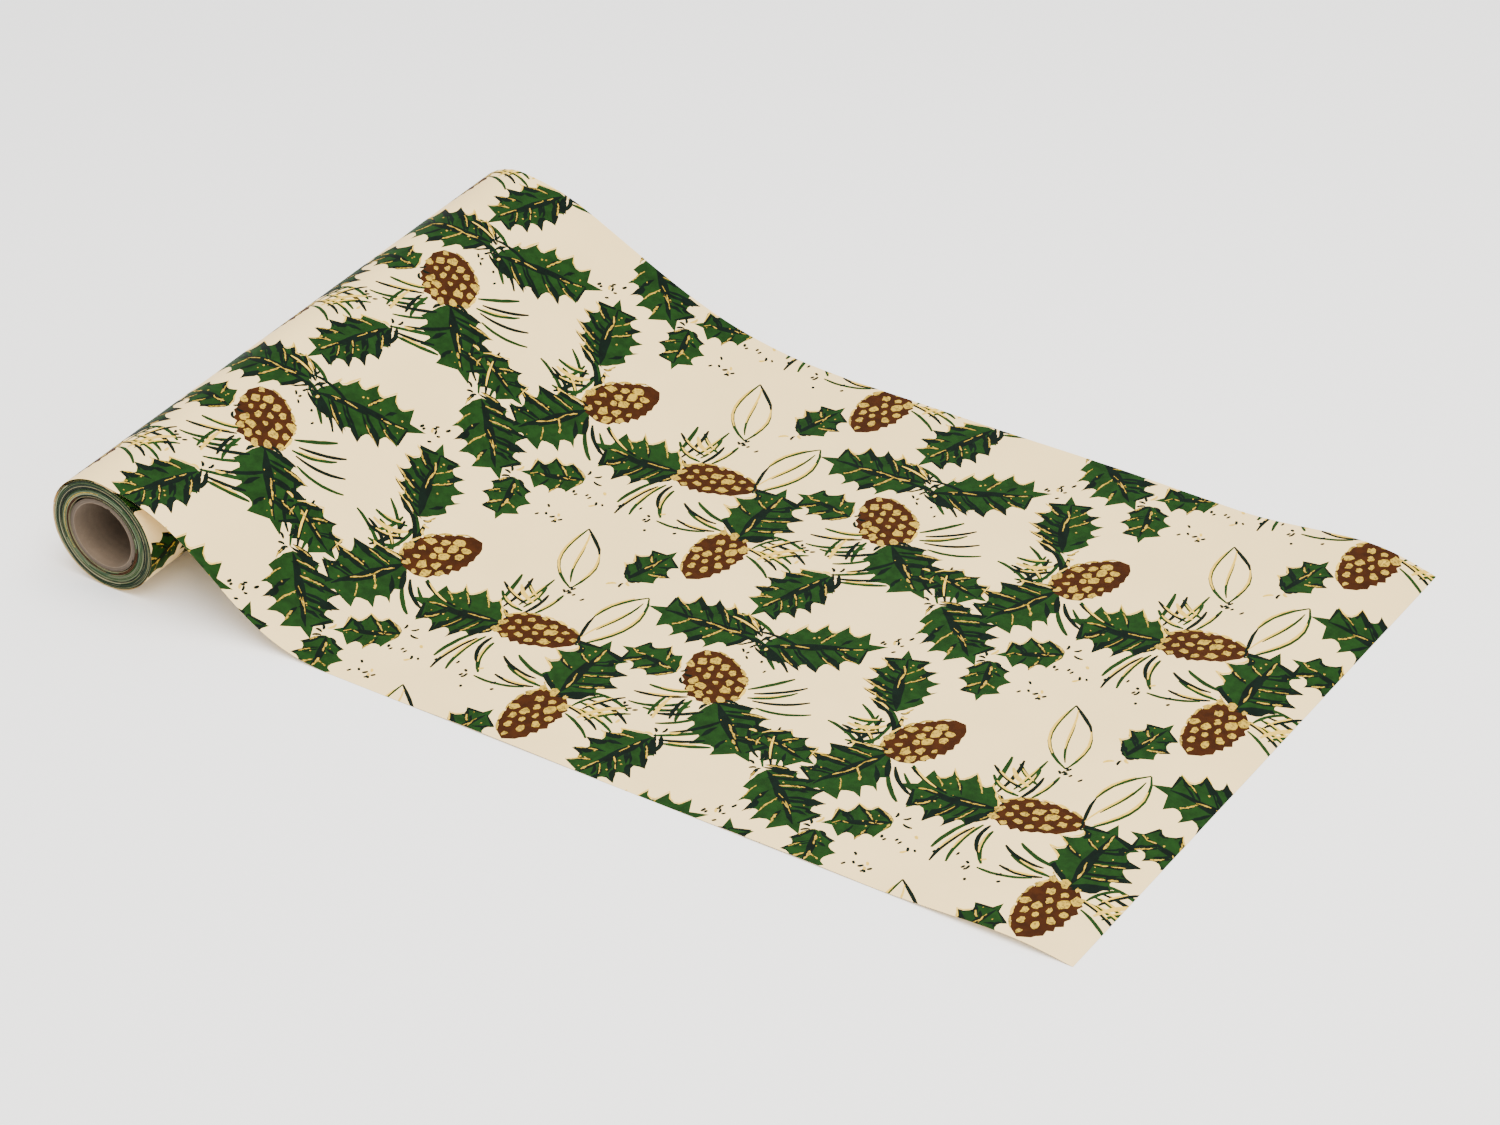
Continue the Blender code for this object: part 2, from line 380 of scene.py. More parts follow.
# ---- shape of the web --------------------------------------------------------------------
class WebShape:
    """Turns a place on the flat web, (s, y), into a point in space.

    s runs along the paper and is 0 where the web lifts off the roll. Below the seam the
    paper belongs to the outermost wound turn, and above it to the drawn-off web.
    """

    COLUMNS = 40
    STEPS = 400

    def __init__(self, settings):
        self.half_thick = settings.thickness / 2.0
        self.curl = (settings.curl_near, settings.curl_far)
        self.ripple = settings.ripple
        top = AXIS_Z + WEB_RADIUS * math.cos(LIFT_ANGLE)
        start = WEB_RADIUS * math.sin(LIFT_ANGLE)
        u = (np.arange(self.STEPS) + 0.5) / self.STEPS
        lines = []
        lengths = []
        for column in range(self.COLUMNS + 1):
            t = column / self.COLUMNS
            steep, first, last = (mix_pair(p, t) for p in
                                  (RAMP_SLOPE, RAMP_STEEP_FROM, RAMP_STEEP_TO))
            rising = LIFT_ANGLE + (steep - LIFT_ANGLE) * smooth_step(u / first)
            easing = steep * (1.0 - smooth_step((u - last) / (1.0 - last)))
            slope = np.where(u < first, rising, easing)
            step = (top - self.half_thick) / np.sum(np.sin(slope))
            x = start + step * np.concatenate([[0.0], np.cumsum(np.cos(slope))])
            z = top - step * np.concatenate([[0.0], np.cumsum(np.sin(slope))])
            lines.append(np.stack([x, z], axis=1))
            lengths.append(step * self.STEPS)
        self.lines = np.array(lines)
        ends = self.lines[:, -1, 0]
        self.offset = float(np.mean(ends - np.array(lengths)))
        self.ramp_s = ends - self.offset
        self.free_s = FREE_END - self.offset
        self.curl_s = self.free_s - CURL_LENGTH

    def _middle(self, s, y):
        """(x from the axis, z) of the middle of the paper above the seam."""
        across = np.clip(y / WEB_WIDTH + 0.5, 0.0, 1.0) * self.COLUMNS
        left = np.minimum(across.astype(int), self.COLUMNS - 1)
        side = across - left
        ramp_s = self.ramp_s[left] * (1.0 - side) + self.ramp_s[left + 1] * side
        along = np.clip(s / ramp_s, 0.0, 1.0) * self.STEPS
        low = np.minimum(along.astype(int), self.STEPS - 1)
        part = along - low
        rows = []
        for column, share in ((left, 1.0 - side), (left + 1, side)):
            here = self.lines[column, low] * (1.0 - part)[:, None]
            here = here + self.lines[column, low + 1] * part[:, None]
            rows.append(here * share[:, None])
        ramp = rows[0] + rows[1]
        angle = LIFT_ANGLE + s / WEB_RADIUS
        x = np.where(s < 0.0, WEB_RADIUS * np.sin(angle), ramp[:, 0])
        z = np.where(s < 0.0, AXIS_Z + WEB_RADIUS * np.cos(angle), ramp[:, 1])
        laid = s > ramp_s
        x = np.where(laid, s + self.offset, x)
        z = np.where(laid, self.half_thick, z)
        u = np.clip((s - self.curl_s) / CURL_LENGTH, 0.0, 1.0)
        height = mix_pair(self.curl, np.clip(y / WEB_WIDTH + 0.5, 0.0, 1.0))
        z = z + height * np.sin(np.pi * u ** CURL_SKEW)
        beyond = smooth_step((s - ramp_s - 0.01) / 0.08) * smooth_step((self.free_s - s) / 0.05)
        edge = 0.18 + 0.82 * (2.0 * y / WEB_WIDTH) ** 2
        phase = 2.0 * np.pi * s / 0.236 + 1.4 * np.sin(2.0 * np.pi * y / 0.61 + 0.7)
        z = z + self.ripple * beyond * edge * (0.5 + 0.5 * np.sin(phase))
        return x, z

    def web(self, s, y, lift):
        """Points and normals of the drawn-off web at a distance above its middle."""
        x, z = self._middle(s, y)
        x1, z1 = self._middle(s + 0.0004, y)
        x0, z0 = self._middle(s - 0.0004, y)
        dx, dz = x1 - x0, z1 - z0
        size = np.hypot(dx, dz)
        nx, nz = -dz / size, dx / size
        points = np.stack([AXIS_X + x + lift * nx, y, z + lift * nz], axis=1)
        return points, np.stack([nx, np.zeros_like(nx), nz], axis=1)

    def turn(self, s, y, lift):
        """The same for the outermost wound turn, which creeps inward from the seam."""
        back = (SEAM_S - s) / WEB_RADIUS
        radius = turn_radius(back) + lift
        angle = SEAM_ANGLE - back
        points = np.stack([AXIS_X + radius * np.sin(angle), y,
                           AXIS_Z + radius * np.cos(angle)], axis=1)
        return points, np.stack([np.sin(angle), np.zeros_like(angle), np.cos(angle)], axis=1)


OUTER_START = WEB_RADIUS - 0.00024       # radius of the wound turn just behind the seam
OUTER_SETTLED = AXIS_Z - 0.00018         # radius where it rests on the table
OUTER_CREEP = 0.00040                    # how much it tightens in each turn after that
OUTER_TURNS = 1.38                       # turns of it that are modelled


def turn_radius(back):
    """Radius of the loose outer turn at an angle back from the seam."""
    first = OUTER_START + (OUTER_SETTLED - OUTER_START) * smooth_step(back / 1.6)
    return first - OUTER_CREEP * np.maximum(back - 2.2, 0.0) / (2.0 * np.pi)


def grid_sheet(shape, place, s_lines, y_lines):
    """Closed thin sheet over a grid of lines on the flat web."""
    rows, columns = len(s_lines), len(y_lines)
    s, y = (a.ravel() for a in np.meshgrid(s_lines, y_lines, indexing="ij"))
    top, up = place(s, y, shape.half_thick)
    under, _ = place(s, y, -shape.half_thick)
    points = np.concatenate([top, under])
    normals = np.concatenate([up, -up])
    n = rows * columns
    faces = []
    for r in range(rows - 1):
        for c in range(columns - 1):
            a = r * columns + c
            b = a + columns
            faces.append((a, b, b + 1, a + 1))
            faces.append((n + a, n + a + 1, n + b + 1, n + b))
    rim = list(range(columns - 1)) + list(range(columns - 1, n - 1, columns))
    rim += list(range(n - 1, n - columns, -1)) + list(range(n - columns, 0, -columns))
    for a, b in zip(rim, rim[1:] + rim[:1]):
        faces.append((a, b, n + b, n + a))
    return points, faces, normals


# ---- drawing of the print ------------------------------------------------------------------
GOLDEN_ANGLE = math.pi * (3.0 - math.sqrt(5.0))     # turn from one motif to the next
PUSHES = 160                             # rounds of pushing the motifs apart
PRINT_START = 100.0                      # mm from the roll's axis, laid flat, to a repeat
REPEATS_ALONG = range(-2, 2)             # enough repeats to cover the whole web
REPEATS_ACROSS = range(-1, 4)
# Radius in mm that each kind of motif keeps for itself, and the motifs of one repeat.
ROOM = {"sprig": 47.0, "broad leaf": 34.0, "small leaf": 22.0, "outline": 30.0, "dashes": 13.0}
MOTIFS = (["sprig"] * 4 + ["broad leaf"] * 5 + ["small leaf"] * 5 + ["outline"] * 2
          + ["dashes"] * 7)


class Drawing:
    """Hand-drawn motifs in millimetres, as outlines for each ink."""

    REGISTER = cmath.rect(1.0, math.radians(128.0))     # way the gold is out of register

    def __init__(self, seed):
        self.rng = random.Random(seed)
        self.outlines = {ink: [] for ink in INKS}

    def wobble(self, amount):
        return complex(self.rng.uniform(-amount, amount), self.rng.uniform(-amount, amount))

    def fill(self, ink, outline):
        area = sum((a.conjugate() * b).imag for a, b in zip(outline, outline[1:] + outline[:1]))
        self.outlines[ink].append(outline if area > 0.0 else outline[::-1])

    def stroke(self, ink, spine, width, ends=0.2, rough=0.12):
        """Brush stroke along a line of points, thin at both ends."""
        left, right = [], []
        last = len(spine) - 1
        for i, point in enumerate(spine):
            ahead = spine[min(i + 1, last)] - spine[max(i - 1, 0)]
            side = 1j * ahead / max(abs(ahead), 1e-6)
            half = width / 2.0 * (ends + (1.0 - ends) * math.sin(math.pi * i / last) ** 0.6)
            left.append(point + side * half * (1.0 + self.rng.uniform(-rough, rough)))
            right.append(point - side * half * (1.0 + self.rng.uniform(-rough, rough)))
        self.fill(ink, left + right[::-1])

    def dry_stroke(self, ink, spine, width, pieces):
        """Stroke of a nearly dry brush: ragged, and broken into shorter pieces."""
        rng = self.rng
        fine = []
        for a, b in zip(spine, spine[1:]):
            fine += [a + (b - a) * f / 3.0 + self.wobble(0.16 * width) for f in range(3)]
        fine.append(spine[-1])
        size = len(fine) // pieces
        for k in range(pieces):
            part = fine[k * size:(k + 1) * size + (0 if rng.random() < 0.5 else 1)]
            if len(part) > 2:
                self.stroke(ink, part, width * rng.uniform(0.75, 1.2), 0.40, 0.60)

    def sweep(self, start, heading, reach, bend, steps=7):
        points = [start]
        for i in range(steps):
            angle = heading + bend * ((i + 0.5) / steps - 0.5)
            points.append(points[-1] + cmath.rect(reach / steps, angle))
        return points

    def leaf(self, centre, heading, reach, width, spines, bend):
        """Spiny leaf with a dark side, a feathered rib and ragged gold veins."""
        rng = self.rng
        turn = cmath.rect(1.0, math.radians(heading))
        base = centre - turn * reach / 2.0

        def lay(point):
            curved = complex(point.real, point.imag + bend * reach * (point.real / reach) ** 2
                             - bend * reach / 3.0)
            return base + turn * curved

        def half(t):
            return math.sin(math.pi * min(max(t, 0.0), 1.0) ** 0.84) ** 0.62 * width * 0.53

        pitch = 0.94 / (spines + 0.4)
        rims, tips = {}, {}
        for side in (1, -1):
            rim, tip_row = [], []
            for k in range(spines):
                t = (k + 0.72) * pitch + rng.uniform(-0.02, 0.02)
                for back, share in ((0.70, 0.96), (0.48, 0.81), (0.26, 0.80), (0.09, 0.92)):
                    near = t - back * pitch
                    rim.append(complex(near * reach, side * half(near) * share)
                               + self.wobble(0.3))
                tip = complex((t + 0.055) * reach, side * (half(t) * 1.05 + 0.075 * width))
                rim.append(tip)
                tip_row.append(tip)
            rim.append(complex(0.90 * reach, side * half(0.90) * 0.42))
            rims[side], tips[side] = rim, tip_row
        outline = [0j] + rims[1] + [complex(reach * 1.07, 0.0)] + rims[-1][::-1]
        self.fill("green", [lay(p) for p in outline])
        shade = rng.choice((1, -1))
        for side in (1, -1):
            dark = side == shade
            for k, tip in enumerate(tips[side]):
                root = complex(tip.real - 0.26 * reach, 0.0)
                self.vein(lay, root, tip, side, width, dark)
                if dark or rng.random() < 0.25:
                    arc = rims[side][5 * k + 1:5 * k + 6]
                    girth = rng.uniform(0.08, 0.15) * width
                    inner = [p - complex(0.0, side * girth * 0.55) for p in arc]
                    self.stroke("navy", [lay(p) for p in inner], girth, 0.30, 0.45)
            self.off_register(lay, rims[side], side, turn)
        self.rib(lay, reach, width)
        for _ in range(int(reach / 7.0)):
            spot = complex(rng.uniform(0.15, 0.85) * reach, rng.uniform(-0.30, 0.30) * width)
            self.speck("gold", lay(spot), rng.uniform(0.4, 0.9))

    def speck(self, ink, at, size):
        rng = self.rng
        self.fill(ink, [at + cmath.rect(size * rng.uniform(0.6, 1.3), math.tau * i / 6.0)
                        for i in range(6)])

    def vein(self, lay, root, tip, side, width, dark):
        rng = self.rng
        across = complex(0.0, side)
        inward = rng.uniform(0.55, 0.92)
        spine = [root + (tip - root) * f * inward + 0.05 * width * across
                 * math.sin(math.pi * f) for f in (0.05, 0.2, 0.36, 0.52, 0.68, 0.84, 1.0)]
        if dark:
            for shift in (0.0, rng.uniform(0.05, 0.09)):
                moved = [lay(p + shift * width * (0.6 - across)) for p in spine]
                self.stroke("navy", moved, width * rng.uniform(0.035, 0.085), 0.1, 0.55)
        elif rng.random() < 0.6:
            self.stroke("navy", [lay(p) for p in spine[1:6]], width * 0.055 + 0.4, 0.1, 0.45)
        if rng.random() < 0.66:
            first = rng.choice((0, 1, 2))
            gold = [lay(p + complex(1.0, 0.0) + across) for p in spine[first:first + 5]]
            self.dry_stroke("gold", gold, rng.uniform(0.9, 1.5), rng.choice((1, 2)))

    def rib(self, lay, reach, width):
        rng = self.rng
        marks = (0.02, 0.14, 0.27, 0.40, 0.53, 0.66, 0.78, 0.90)
        line = [complex(reach * f, 0.014 * reach * math.sin(5.0 * f)) for f in marks]
        for shift, girth, last in ((0.0, 0.085, 8), (0.065, 0.06, 6), (-0.06, 0.05, 5)):
            moved = [lay(p + complex(0.0, shift * width * math.sin(2.6 * f)))
                     for p, f in zip(line, marks)]
            self.stroke("navy", moved[:last], girth * width + 0.5, 0.15, 0.5)
        for first in rng.sample((1, 3, 4, 5), 2):
            gold = [lay(p + complex(0.0, rng.choice((-1.0, 1.2)))) for p in line[first:first + 3]]
            self.dry_stroke("gold", gold, rng.uniform(1.0, 1.6), 2)

    def off_register(self, lay, rim, side, turn):
        """Pale gold that peeps out along the upper edges."""
        rng = self.rng
        for k in range(0, len(rim) - 3, 3):
            arc = rim[k:k + 4]
            out = turn * complex(0.25, side)
            lean = (out.conjugate() * self.REGISTER).real / abs(out)
            if lean > 0.05 and rng.random() < 0.45 + 0.4 * lean:
                shift = self.REGISTER * rng.uniform(0.7, 1.5)
                self.stroke("pale_gold", [lay(p) + shift for p in arc], rng.uniform(1.1, 1.8),
                            0.3, 0.4)

    def cone(self, centre, heading, reach, width):
        """Cone: a scalloped brown body under ragged scales, out of register."""
        rng = self.rng
        turn = cmath.rect(1.0, math.radians(heading))
        base = centre - turn * reach / 2.0

        def half(t):
            return math.sin(math.pi * min(max(t, 0.0), 1.0) ** 0.78) ** 0.52 * width / 2.0

        rim = []
        marks = [i / 17.0 for i in range(1, 17)]
        for side, row in ((1, marks), (-1, marks[::-1])):
            for i, t in enumerate(row):
                scallop = 1.0 + (0.07 if i % 2 else -0.05)
                rim.append(complex(t * reach, side * half(t) * scallop) + self.wobble(0.8))
            rim.append(complex(reach if side > 0 else 0.0, 0.0))
        self.fill("brown", [base + turn * p for p in rim])
        rows = max(5, round(reach / 8.6))
        shift = self.REGISTER * 1.3
        pitch = 9.4
        for r in range(rows):
            t = (r + 0.60) / (rows + 0.15)
            room = half(t) - 1.2
            start = -int(room / pitch + 1.0) * pitch + (0.5 * pitch if r % 2 else 0.0)
            for k in range(int(2.0 * room / pitch) + 3):
                y = start + k * pitch + rng.uniform(-1.1, 1.1)
                if abs(y) > room or rng.random() < 0.07:
                    continue
                size = 3.75 * rng.uniform(0.60, 1.22) * min(1.0, 0.62 + 0.06 * room)
                at = complex(t * reach + rng.uniform(-1.2, 1.2) - 0.12 * abs(y), y)
                blob = []
                lean = rng.uniform(-0.5, 0.5)
                for i in range(10):
                    a = math.tau * (i + rng.uniform(-0.35, 0.35)) / 10.0
                    oval = 1.0 + 0.16 * math.cos(2.0 * (a - lean))
                    blob.append(at + cmath.rect(size * rng.uniform(0.62, 1.18) * oval, a))
                self.fill("gold", [base + turn * p + shift for p in blob])
                if rng.random() < 0.5:
                    nick = [base + turn * (at + complex(size * f, 0.5 * size * f * f - 0.4))
                            + shift for f in (-0.6, -0.2, 0.2, 0.6)]
                    self.stroke("pale_gold", nick, 0.9, 0.4, 0.4)
        for side in (1, -1):
            out = turn * complex(0.0, side)
            if (out.conjugate() * self.REGISTER).real > 0.1:
                for start in (0.06, 0.24, 0.42, 0.60, 0.78):
                    arc = [start + 0.15 * f / 4.0 for f in range(5)]
                    line = [base + turn * complex(t * reach, side * half(t))
                            + self.REGISTER * rng.uniform(0.3, 1.1) for t in arc]
                    self.stroke("gold" if rng.random() < 0.5 else "pale_gold", line,
                                rng.uniform(1.4, 2.3), 0.35, 0.5)

    def open_leaf(self, centre, heading, reach, width):
        """Leaf drawn only with thin outline strokes."""
        turn = cmath.rect(1.0, math.radians(heading))
        base = centre - turn * reach / 2.0
        marks = [i / 9.0 for i in range(10)]
        for side, ink, first, last in ((1, "green", 0, 10), (-1, "green", 0, 6),
                                       (1, "pale_gold", 2, 9), (-1, "navy", 5, 10),
                                       (-1, "pale_gold", 1, 6)):
            drift = self.REGISTER * (1.9 if ink == "pale_gold" else 0.0)
            line = [complex(t * reach, side * math.sin(math.pi * t ** 0.9) * width / 2.0)
                    for t in marks[first:last]]
            self.stroke(ink, [base + turn * (p + self.wobble(0.2)) + drift for p in line],
                        1.9 if ink == "pale_gold" else 2.7, 0.45)
        rib = [complex(t * reach * 0.9, 2.5 * math.sin(5.0 * t)) for t in marks]
        self.stroke("green", [base + turn * p for p in rib[1:8]], 2.2, 0.35)
        self.stroke("pale_gold", [base + turn * p + 1.8 * self.REGISTER for p in rib[3:]], 1.7, 0.4)

    def needle(self, ink, start, heading, reach, bend):
        rng = self.rng
        line = self.sweep(start, heading, reach, bend + rng.uniform(-0.30, 0.30))
        self.stroke(ink, line, rng.uniform(2.8, 3.6), 0.45, 0.14)
        if ink != "pale_gold" and rng.random() < 0.30:
            shift = self.REGISTER * rng.uniform(1.4, 2.2)
            self.stroke("pale_gold", [p + shift for p in line[1:6]], 1.7, 0.45)

    def spray(self, at, heading, reach, count, gap=4.4, spread=34.0, inks=("green", "navy")):
        """Needles side by side that fan out from a twig, each begun at its own place."""
        rng = self.rng
        bend = rng.choice((-1.0, 1.0)) * rng.uniform(0.35, 0.85)
        for k in range(count):
            place = k - (count - 1) / 2.0
            start = at + cmath.rect(place * gap, math.radians(heading + 90.0)) + self.wobble(2.0)
            start += cmath.rect(rng.uniform(0.0, 0.28 * reach), math.radians(heading))
            angle = math.radians(heading + spread * place / count)
            self.needle(inks[k % len(inks)], start, angle + rng.uniform(-0.12, 0.12),
                        reach * rng.uniform(0.62, 0.95), bend)

    def hatch(self, at, heading, reach, count):
        """Two fans of needles that cross like a loose net."""
        self.spray(at, heading, reach, count, 6.0, 26.0, ("green", "navy", "green"))
        middle = at + cmath.rect(reach * 0.45, math.radians(heading))
        start = middle - cmath.rect(reach * 0.34, math.radians(heading + 64.0))
        self.spray(start, heading + 64.0, reach * 0.84, max(count - 2, 3), 6.4, 20.0,
                   ("green", "pale_gold", "navy"))

    def dashes(self, at, count, spread):
        """Small ticks scattered on the ground."""
        for _ in range(count):
            start = at + complex(self.rng.gauss(0.0, spread), self.rng.gauss(0.0, spread))
            heading = self.rng.choice((0.9, 1.3, 2.2)) + self.rng.uniform(-0.3, 0.3)
            ink = self.rng.choice(("navy", "navy", "navy", "navy", "pale_gold"))
            line = self.sweep(start, heading, self.rng.uniform(2.8, 4.6), 0.5, 3)
            self.stroke(ink, line, self.rng.uniform(1.8, 2.4), 0.6)

    def ticks(self, at, heading):
        """Curved marks in pairs where a stem starts."""
        for turn, reach in ((20.0, 5.0), (-35.0, 6.5), (70.0, 4.5), (110.0, 5.5)):
            angle = math.radians(heading + turn)
            start = at + cmath.rect(self.rng.uniform(3.0, 7.0), angle + 0.6)
            ink = "navy" if self.rng.random() < 0.7 else "pale_gold"
            self.stroke(ink, self.sweep(start, angle, 1.2 * reach, 1.1, 4), 2.2, 0.45)


def spread_out(rooms, size, rng):
    """Places for motifs that each need some room, pushed apart over one repeat."""
    places = [complex(rng.uniform(0.0, size.real), rng.uniform(0.0, size.imag)) for _ in rooms]
    for _ in range(PUSHES):
        moved = []
        for i, place in enumerate(places):
            push = 0j
            for j, other in enumerate(places):
                gap = place - other
                gap = complex(gap.real - size.real * round(gap.real / size.real),
                              gap.imag - size.imag * round(gap.imag / size.imag))
                short = rooms[i] + rooms[j] - abs(gap)
                if i != j and short > 0.0:
                    push += 0.25 * short * gap / max(abs(gap), 1.0)
            moved.append(place + push)
        places = moved
    return [complex(p.real % size.real, p.imag % size.imag) for p in places]


def draw_repeat(settings):
    """One repeat of the holly and cone design: sprigs, leaves and outlines spread evenly."""
    art = Drawing(settings.seed)
    rng = art.rng
    size = complex(settings.repeat_length, settings.repeat_width) / MM
    rooms = [ROOM[kind] for kind in MOTIFS]
    places = spread_out(rooms, size, rng)
    for k, (kind, place) in enumerate(zip(MOTIFS, places)):
        heading = math.degrees(k * GOLDEN_ANGLE) + rng.uniform(-12.0, 12.0)
        along = cmath.rect(1.0, math.radians(heading))
        bend = rng.uniform(-0.10, 0.12)
        if kind == "sprig":
            art.leaf(place - 33.0 * along, heading + 180.0, 66.0, 50.0, 4, bend)
            art.cone(place + 29.0 * along, heading, 64.0, rng.uniform(34.0, 48.0))
            art.hatch(place + 12.0j * along, heading + 78.0, 44.0, 6)
            art.spray(place - 12.0j * along, heading - 96.0, 50.0, 5)
        elif kind == "broad leaf":
            art.leaf(place, heading, rng.uniform(66.0, 80.0), rng.uniform(42.0, 50.0), 5, bend)
            art.spray(place - 34.0 * along, heading + 150.0, 46.0, 4)
            art.ticks(place - 40.0 * along, heading + 180.0)
        elif kind == "small leaf":
            art.leaf(place, heading, rng.uniform(42.0, 48.0), rng.uniform(29.0, 33.0), 3, bend)
            art.ticks(place - 25.0 * along, heading + 180.0)
        elif kind == "outline":
            art.open_leaf(place, heading, 74.0, 28.0)
        else:
            art.dashes(place, 9, 8.0)
    return art.outlines


def lay_ink(outlines, settings, shape, s_lines, y_lines):
    """Repeat one ink's outlines over part of the web and cut them along its grid."""
    step_u = settings.repeat_length / MM
    step_v = settings.repeat_width / MM
    first = complex(PRINT_START - shape.offset / MM, -HALF / MM)
    s_mm = [s / MM for s in s_lines]
    y_mm = [y / MM for y in y_lines]
    low = complex(s_mm[0], y_mm[0])
    high = complex(s_mm[-1], y_mm[-1])
    points, edges, areas = [], [], []
    for i in REPEATS_ALONG:
        for j in REPEATS_ACROSS:
            shift = first + complex(i * step_u, j * step_v)
            for outline in outlines:
                area = np.array(outline) + shift
                if area.real.max() < low.real or area.real.min() > high.real \
                        or area.imag.max() < low.imag or area.imag.min() > high.imag:
                    continue
                start, size = len(points), len(outline)
                edges += [(start + k, start + (k + 1) % size) for k in range(size)]
                points += [(p.real, p.imag) for p in area]
                areas.append(area)
    for s in s_mm:
        edges.append((len(points), len(points) + 1))
        points += [(s, low.imag), (s, high.imag)]
    for y in y_mm:
        edges.append((len(points), len(points) + 1))
        points += [(low.real, y), (high.real, y)]
    verts, _, tris, _, _, _ = delaunay_2d_cdt([Vector(p) for p in points], edges, [],
                                              0, 1e-5, False)
    flat = np.array([(v.x, v.y) for v in verts])
    tris = np.array(tris)
    middle = flat[tris].mean(axis=1)
    kept = inked(middle[:, 0] + 1j * middle[:, 1], areas)
    kept &= (middle[:, 0] > low.real) & (middle[:, 0] < high.real)
    kept &= (middle[:, 1] > low.imag) & (middle[:, 1] < high.imag)
    used, faces = np.unique(tris[kept], return_inverse=True)
    return flat[used] * MM, faces.reshape(-1, 3).tolist()


def inked(places, areas):
    """Which places lie inside any of the outlines, by winding number."""
    order = np.argsort(places.real)
    ranked = places[order]
    inside = np.zeros(len(places), dtype=bool)
    for area in areas:
        start = np.searchsorted(ranked.real, area.real.min())
        stop = np.searchsorted(ranked.real, area.real.max())
        near = ranked[start:stop]
        rows = (near.imag >= area.imag.min()) & (near.imag <= area.imag.max())
        near = near[rows][:, None]
        a, b = area[None, :], np.roll(area, -1)[None, :]
        side = ((b - a).conjugate() * (near - a)).imag
        climbs = (a.imag <= near.imag) & (b.imag > near.imag) & (side > 0.0)
        drops = (a.imag > near.imag) & (b.imag <= near.imag) & (side < 0.0)
        winding = climbs.sum(axis=1) - drops.sum(axis=1)
        inside[order[start:stop][rows]] |= winding != 0
    return inside


def ink_finishes(settings):
    return {
        "green": ink_finish("green_ink", tuple(settings.green), 0.58),
        "brown": ink_finish("brown_ink", tuple(settings.brown), 0.60),
        "navy": ink_finish("navy_ink", tuple(settings.navy), 0.56, 0.35),
        "pale_gold": gold_finish("pale_gold_ink", tuple(settings.pale_gold), 0.10, 0.80),
        "gold": gold_finish("gold_ink", tuple(settings.gold), 0.30, 0.28),
    }


def print_films(prefix, settings, inks, shape, place, s_lines, y_lines):
    """One thin film of each ink over part of the web."""
    outlines = draw_repeat(settings)
    films = []
    for ink in INKS:
        flat, faces = lay_ink(outlines[ink], settings, shape, s_lines, y_lines)
        points, normals = place(flat[:, 0], flat[:, 1], shape.half_thick + INK_LIFT[ink] * MM)
        films.append(add_piece(prefix + ink, points, faces, inks[ink], normals=normals))
    return films


def even(first, last, spacing):
    count = max(1, round((last - first) / spacing))
    return list(np.linspace(first, last, count + 1))


def web_lines(shape):
    """Grid lines of the drawn-off web, close together where it bends most."""
    last_ramp = float(shape.ramp_s.max())
    lines = even(SEAM_S, 0.0, 0.0026) + even(0.0, last_ramp, 0.0055)[1:]
    lines += even(last_ramp, shape.curl_s, 0.010)[1:] + even(shape.curl_s, shape.free_s, 0.0045)[1:]
    return lines, even(-HALF, HALF, 0.010)


def turn_lines():
    """Grid lines of the loose outer turn, up to just short of the seam."""
    return even(SEAM_S - OUTER_TURNS * math.tau * WEB_RADIUS, SEAM_S - 0.0004, 0.0032)


